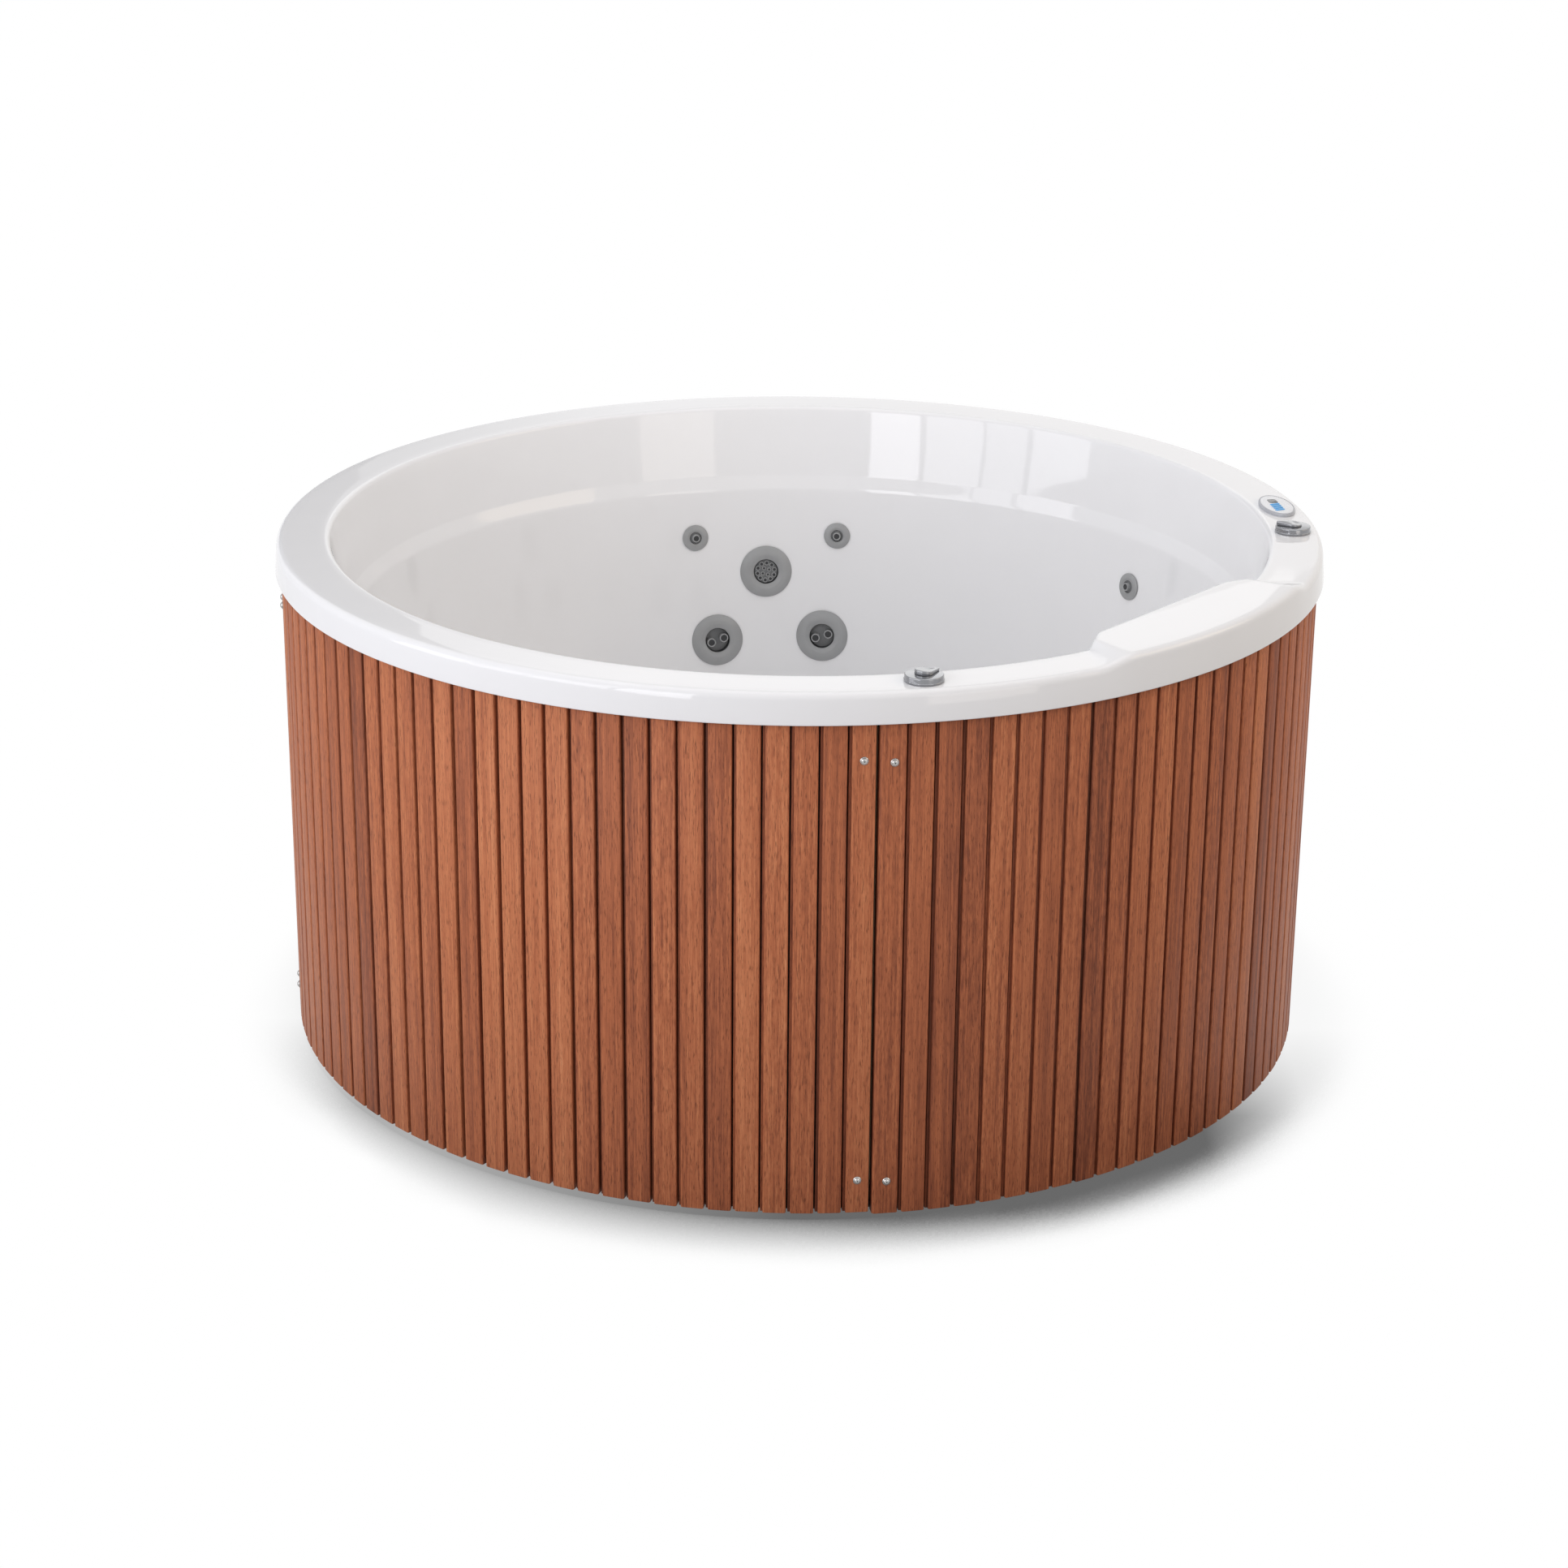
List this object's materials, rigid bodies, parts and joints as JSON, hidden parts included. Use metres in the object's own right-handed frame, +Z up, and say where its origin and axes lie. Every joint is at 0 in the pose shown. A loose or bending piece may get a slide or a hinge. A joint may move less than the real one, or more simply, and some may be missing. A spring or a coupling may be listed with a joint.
{
  "type": "hot tub",
  "caption": "Round hot tub: glossy white acrylic shell with bench, footwell, raised headrest, massage jets and rim controls, clad in upright hardwood slats on a hidden frame.",
  "frame": {"origin": "centre of the tub in plan, on the floor under its feet", "axes": "+Z up along the tub's axis, -Y to the front, +X to the right as seen from the front"},
  "size_m": [1.872, 1.872, 0.9349],
  "materials": {
    "acrylic": "glossy white",
    "wood": "oiled satin",
    "liner": "matte",
    "steel": "satin",
    "rubber": "matte",
    "tray": "matte",
    "timber": "sawn",
    "jet_grey": "satin",
    "valve_silver": "satin silver",
    "pipe": "satin",
    "hose": "satin",
    "pump_black": "satin",
    "motor": "cast, painted",
    "box_grey": "satin",
    "panel_grey": "satin",
    "panel_white": "satin white",
    "display": "glossy dark",
    "key_blue": "satin blue",
    "drain_red": "satin red"
  },
  "bodies": {
    "tub": {"acrylic_shell": "acrylic", "cladding_front_left": "wood", "cladding_front_right": "wood", "cladding_back_right": "wood", "cladding_back_left": "wood", "cladding_liners": "liner", "cladding_screws": "steel", "cladding_washers": "steel", "support_feet": "rubber", "base_tray": "tray", "base_frame": "timber", "frame_posts": "timber", "upper_hoop": "steel", "air_valve_body": "valve_silver", "diverter_body": "valve_silver", "control_panel_case": "panel_grey", "control_panel_fascia": "panel_white", "control_panel_display": "display", "large_jet_bodies": "jet_grey", "small_jet_bodies": "jet_grey", "jet_gaskets": "rubber", "jet_nuts": "pipe", "large_jet_faces": "jet_grey", "small_jet_faces": "jet_grey", "suction_fittings": "pipe", "suction_covers": "jet_grey", "pump_motor": "motor", "pump_wet_end": "pump_black", "heater_tube": "steel", "control_box": "box_grey", "filter_canister": "box_grey", "filter_lid": "pump_black", "water_manifold": "pipe", "water_hoses": "hose", "air_manifolds": "pipe", "air_hoses": "hose", "main_pipes": "pipe", "drain_valve_body": "pipe"},
    "small_jet_nozzle_1": {"small_jet_nozzle_1": "jet_grey"},
    "small_jet_nozzle_2": {"small_jet_nozzle_2": "jet_grey"},
    "small_jet_nozzle_3": {"small_jet_nozzle_3": "jet_grey"},
    "small_jet_nozzle_4": {"small_jet_nozzle_4": "jet_grey"},
    "small_jet_nozzle_5": {"small_jet_nozzle_5": "jet_grey"},
    "small_jet_nozzle_6": {"small_jet_nozzle_6": "jet_grey"},
    "twin_jet_rotor_1": {"twin_jet_rotor_1": "jet_grey"},
    "twin_jet_rotor_2": {"twin_jet_rotor_2": "jet_grey"},
    "twin_jet_rotor_3": {"twin_jet_rotor_3": "jet_grey"},
    "twin_jet_rotor_4": {"twin_jet_rotor_4": "jet_grey"},
    "twin_jet_rotor_5": {"twin_jet_rotor_5": "jet_grey"},
    "twin_jet_rotor_6": {"twin_jet_rotor_6": "jet_grey"},
    "cluster_jet_insert_1": {"cluster_jet_insert_1": "jet_grey"},
    "cluster_jet_insert_2": {"cluster_jet_insert_2": "jet_grey"},
    "cluster_jet_insert_3": {"cluster_jet_insert_3": "jet_grey"},
    "air_valve_lever": {"air_valve_lever": "valve_silver"},
    "diverter_lever": {"diverter_lever": "valve_silver"},
    "panel_key_1": {"panel_key_1": "key_blue"},
    "panel_key_2": {"panel_key_2": "key_blue"},
    "panel_key_3": {"panel_key_3": "key_blue"},
    "panel_key_4": {"panel_key_4": "key_blue"},
    "drain_valve_handle": {"drain_valve_handle": "drain_red"}
  },
  "joints": [
    {"name": "small_jet_nozzle_1_swivel", "type": "hinge", "parent": "tub", "child": "small_jet_nozzle_1", "pos_m": [-0.21129, 0.7593, 0.66], "axis": [0.9634, 0.2681, 0], "range_deg": [-10, 10]},
    {"name": "small_jet_nozzle_2_swivel", "type": "hinge", "parent": "tub", "child": "small_jet_nozzle_2", "pos_m": [0.07623, 0.78445, 0.66], "axis": [0.9953, -0.0967, 0], "range_deg": [-10, 10]},
    {"name": "small_jet_nozzle_3_swivel", "type": "hinge", "parent": "tub", "child": "small_jet_nozzle_3", "pos_m": [0.64204, 0.45712, 0.66], "axis": [0.58, -0.8146, 0], "range_deg": [-10, 10]},
    {"name": "small_jet_nozzle_4_swivel", "type": "hinge", "parent": "tub", "child": "small_jet_nozzle_4", "pos_m": [0.76356, 0.19534, 0.66], "axis": [0.2478, -0.9688, 0], "range_deg": [-10, 10]},
    {"name": "small_jet_nozzle_5_swivel", "type": "hinge", "parent": "tub", "child": "small_jet_nozzle_5", "pos_m": [0.68631, -0.3875, 0.66], "axis": [-0.4917, -0.8708, 0], "range_deg": [-10, 10]},
    {"name": "small_jet_nozzle_6_swivel", "type": "hinge", "parent": "tub", "child": "small_jet_nozzle_6", "pos_m": [0.50079, -0.60859, 0.66], "axis": [-0.7722, -0.6354, 0], "range_deg": [-10, 10]},
    {"name": "twin_jet_rotor_1_spin", "type": "hinge", "parent": "tub", "child": "twin_jet_rotor_1", "pos_m": [-0.16606, 0.7429, 0.4488], "axis": [0.2164, -0.9681, 0.1264], "continuous": true},
    {"name": "twin_jet_rotor_2_spin", "type": "hinge", "parent": "tub", "child": "twin_jet_rotor_2", "pos_m": [0.04784, 0.76041, 0.4542], "axis": [-0.0623, -0.99, 0.1264], "continuous": true},
    {"name": "twin_jet_rotor_3_spin", "type": "hinge", "parent": "tub", "child": "twin_jet_rotor_3", "pos_m": [0.64201, 0.40901, 0.4488], "axis": [-0.8366, -0.533, 0.1264], "continuous": true},
    {"name": "twin_jet_rotor_4_spin", "type": "hinge", "parent": "tub", "child": "twin_jet_rotor_4", "pos_m": [0.73129, 0.21385, 0.4542], "axis": [-0.9521, -0.2784, 0.1264], "continuous": true},
    {"name": "twin_jet_rotor_5_spin", "type": "hinge", "parent": "tub", "child": "twin_jet_rotor_5", "pos_m": [0.64273, -0.40789, 0.4488], "axis": [-0.8376, 0.5315, 0.1264], "continuous": true},
    {"name": "twin_jet_rotor_6_spin", "type": "hinge", "parent": "tub", "child": "twin_jet_rotor_6", "pos_m": [0.50387, -0.57152, 0.4542], "axis": [-0.656, 0.7441, 0.1264], "continuous": true},
    {"name": "cluster_jet_insert_1_turn", "type": "hinge", "parent": "tub", "child": "cluster_jet_insert_1", "pos_m": [-0.06787, 0.77575, 0.586], "axis": [0.0865, -0.9882, 0.1264], "range_deg": [0, 90]},
    {"name": "cluster_jet_insert_2_turn", "type": "hinge", "parent": "tub", "child": "cluster_jet_insert_2", "pos_m": [0.70633, 0.32787, 0.586], "axis": [-0.8998, -0.4177, 0.1264], "range_deg": [0, 90]},
    {"name": "cluster_jet_insert_3_turn", "type": "hinge", "parent": "tub", "child": "cluster_jet_insert_3", "pos_m": [0.59653, -0.50055, 0.586], "axis": [-0.7599, 0.6376, 0.1264], "range_deg": [0, 90]},
    {"name": "air_valve_lever_turn", "type": "hinge", "parent": "tub", "child": "air_valve_lever", "pos_m": [0.19713, -0.86071, 0.915], "axis": [0, 0, 1], "range_deg": [0, 180]},
    {"name": "diverter_lever_turn", "type": "hinge", "parent": "tub", "child": "diverter_lever", "pos_m": [0.88277, -0.02003, 0.915], "axis": [0, 0, 1], "range_deg": [-90, 90]},
    {"name": "panel_key_1_press", "type": "slide", "parent": "tub", "child": "panel_key_1", "axis": [0, 0, -1], "range_m": [0, 0.0008], "stiffness_N_per_m": 1200},
    {"name": "panel_key_2_press", "type": "slide", "parent": "tub", "child": "panel_key_2", "axis": [0, 0, -1], "range_m": [0, 0.0008], "stiffness_N_per_m": 1200},
    {"name": "panel_key_3_press", "type": "slide", "parent": "tub", "child": "panel_key_3", "axis": [0, 0, -1], "range_m": [0, 0.0008], "stiffness_N_per_m": 1200},
    {"name": "panel_key_4_press", "type": "slide", "parent": "tub", "child": "panel_key_4", "axis": [0, 0, -1], "range_m": [0, 0.0008], "stiffness_N_per_m": 1200},
    {"name": "drain_valve_handle_turn", "type": "hinge", "parent": "tub", "child": "drain_valve_handle", "pos_m": [0.48466, -0.5776, 0.107], "axis": [0, 0, 1], "range_deg": [0, 90]}
  ]
}
